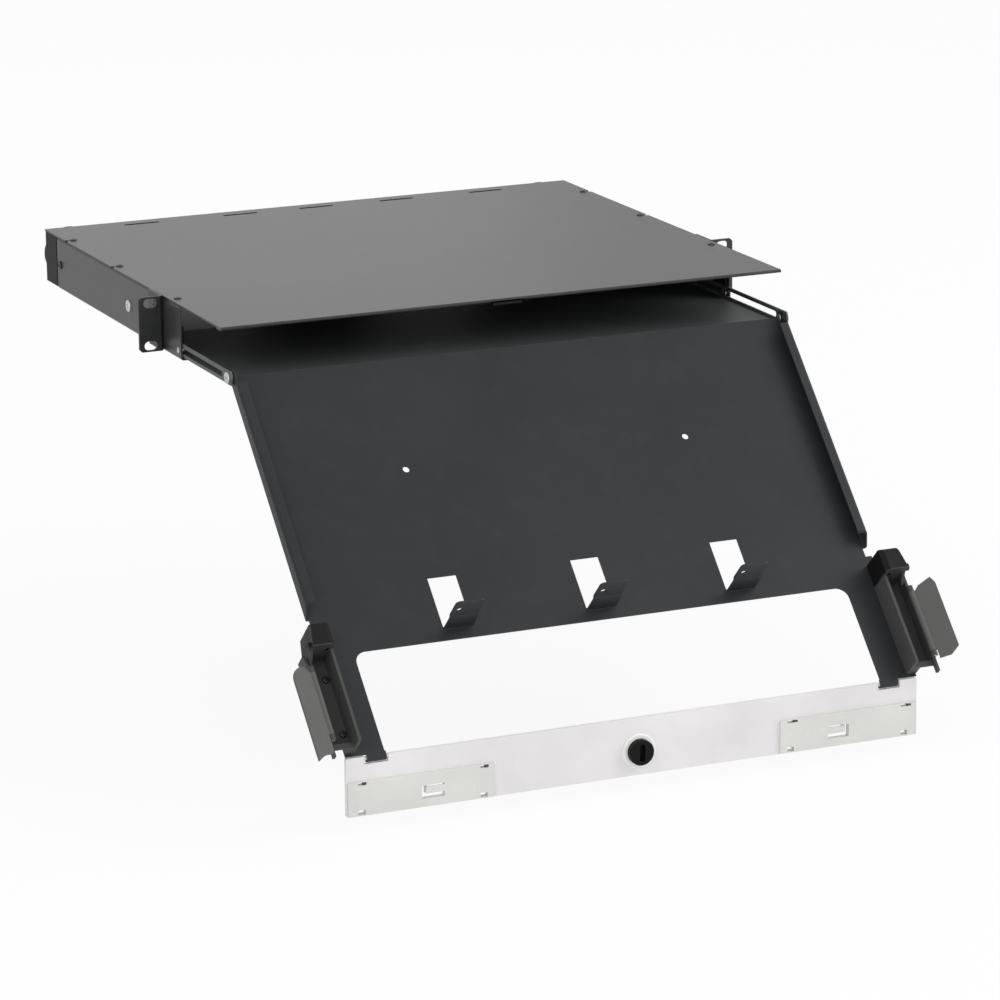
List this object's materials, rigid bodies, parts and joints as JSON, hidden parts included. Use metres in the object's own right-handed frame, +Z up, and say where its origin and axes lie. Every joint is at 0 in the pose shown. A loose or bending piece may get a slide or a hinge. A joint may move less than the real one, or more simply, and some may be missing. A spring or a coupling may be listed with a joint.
{
  "type": "sliding fibre patch drawer",
  "caption": "One-unit rack drawer for fibre patching: a chassis with a top cover, a slotted slide, a tilting tray, cord guides with flaps and a fold-down latched door.",
  "frame": {"origin": "centre of the four rack slots, on the front face of the rack ears", "axes": "+X to the right seen from the front, +Y towards the rear of the rack, +Z up"},
  "size_m": [0.4988, 0.6425, 0.2997],
  "materials": {
    "black_steel": "fine matt powder coat",
    "tray_steel": "fine matt powder coat",
    "rail_steel": "black, bright at the ends",
    "bare_steel": "zinc plated",
    "black_screws": "black oxide",
    "black_plastic": "fine texture",
    "guide_plastic": "fine texture",
    "seal_rubber": "soft matt",
    "pale_plastic": "frosted pale grey",
    "pale_plastic_trim": "smooth pale grey",
    "label_plastic": "clear to milky",
    "card": "plain paper card"
  },
  "bodies": {
    "chassis": {"chassis_pan": "black_steel", "top_cover": "black_steel", "rear_panel": "black_steel", "left_rack_ear": "black_steel", "right_rack_ear": "black_steel", "latch_keeper": "black_steel", "ear_screws": "black_screws", "cover_screws": "black_screws", "rear_panel_screws": "bare_steel", "side_screws": "bare_steel", "rail_pins": "bare_steel", "left_rail_guide": "black_plastic", "right_rail_guide": "black_plastic", "left_cable_gland": "black_plastic", "right_cable_gland": "black_plastic", "left_gland_nut": "black_plastic", "right_gland_nut": "black_plastic", "left_gland_seal": "seal_rubber", "right_gland_seal": "seal_rubber"},
    "rails": {"slide_carriage": "rail_steel", "pivot_rivets": "bare_steel"},
    "tray": {"tray_pan": "tray_steel", "pivot_bushes": "black_plastic", "left_cord_guide": "guide_plastic", "right_cord_guide": "guide_plastic", "guide_screws": "black_screws", "left_flap_pin": "bare_steel", "right_flap_pin": "bare_steel"},
    "left_flap": {"left_guide_flap": "guide_plastic"},
    "right_flap": {"right_guide_flap": "guide_plastic"},
    "door": {"front_door": "pale_plastic", "left_label_holder": "label_plastic", "right_label_holder": "label_plastic", "left_label_card": "card", "right_label_card": "card", "latch_bezel": "pale_plastic_trim"},
    "latch": {"latch_rotor": "black_plastic", "latch_knob": "black_plastic"}
  },
  "joints": [
    {"name": "rail_slide", "type": "slide", "parent": "chassis", "child": "rails", "axis": [0, 1, 0], "range_m": [0, 0.0835]},
    {"name": "tray_tilt", "type": "hinge", "parent": "rails", "child": "tray", "pos_m": [0, -0.1277, -0.01375], "axis": [-1, 0, 0], "range_deg": [0, 45.8]},
    {"name": "left_flap_hinge", "type": "hinge", "parent": "tray", "child": "left_flap", "pos_m": [-0.2319, -0.32497, -0.19853], "axis": [0, 0.6972, 0.7169], "range_deg": [0, 100]},
    {"name": "right_flap_hinge", "type": "hinge", "parent": "tray", "child": "right_flap", "pos_m": [0.2319, -0.32497, -0.19853], "axis": [0, -0.6972, -0.7169], "range_deg": [0, 100]},
    {"name": "door_hinge", "type": "hinge", "parent": "tray", "child": "door", "pos_m": [0, -0.33722, -0.23753], "axis": [-1, 0, 0], "range_deg": [0, 134.2]},
    {"name": "latch_turn", "type": "hinge", "parent": "door", "child": "latch", "pos_m": [0, -0.33722, -0.26013], "axis": [0, -1, 0], "range_deg": [0, 90]}
  ]
}
